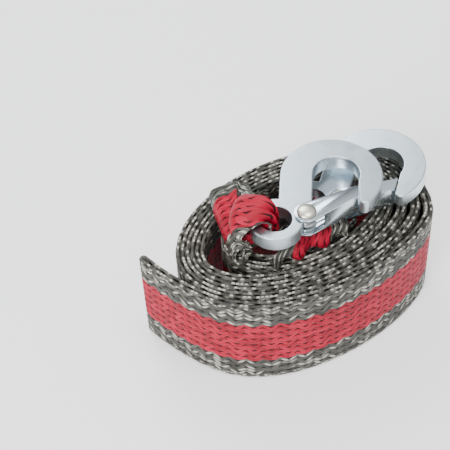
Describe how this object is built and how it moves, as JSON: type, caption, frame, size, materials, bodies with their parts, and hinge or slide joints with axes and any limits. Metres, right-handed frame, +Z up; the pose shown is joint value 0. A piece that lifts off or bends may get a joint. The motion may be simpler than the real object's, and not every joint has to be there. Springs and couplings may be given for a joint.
{
  "type": "tow strap",
  "caption": "Tow strap of striped flat webbing, folded and wound on edge into an oval coil, with a forged snap hook with a sprung latch in each sewn end loop.",
  "frame": {"origin": "middle of the base of the whole part's box, on the floor under the coil", "axes": "+X along the oval coil towards the hooks' bows, +Y towards the back of the coil, +Z up, across the webbing's width"},
  "size_m": [0.132, 0.0796, 0.076],
  "materials": {
    "webbing": "woven, crimson band between grey edge bands",
    "hook": "bright zinc plate",
    "latch": "bright zinc plate",
    "rivet": "smooth, cream tint",
    "spring": "drawn wire"
  },
  "bodies": {
    "strap": {"webbing_strap": "webbing", "hook_front": "hook", "rivet_front": "rivet", "hook_rear": "hook", "rivet_rear": "rivet"},
    "front_latch": {"latch_front": "latch", "latch_spring_front": "spring"},
    "rear_latch": {"latch_rear": "latch", "latch_spring_rear": "spring"}
  },
  "joints": [
    {"name": "front_latch_hinge", "type": "hinge", "parent": "strap", "child": "front_latch", "pos_m": [-0.00258, -0.01422, 0.0687], "axis": [0, 0, 1], "range_deg": [0, 38], "stiffness_Nm_per_rad": 0.02, "springref_deg": -20.05},
    {"name": "rear_latch_hinge", "type": "hinge", "parent": "strap", "child": "rear_latch", "pos_m": [0.02068, -0.00605, 0.05342], "axis": [-0.0872, -0.0011, 0.9962], "range_deg": [0, 38], "stiffness_Nm_per_rad": 0.02, "springref_deg": -20.05}
  ]
}
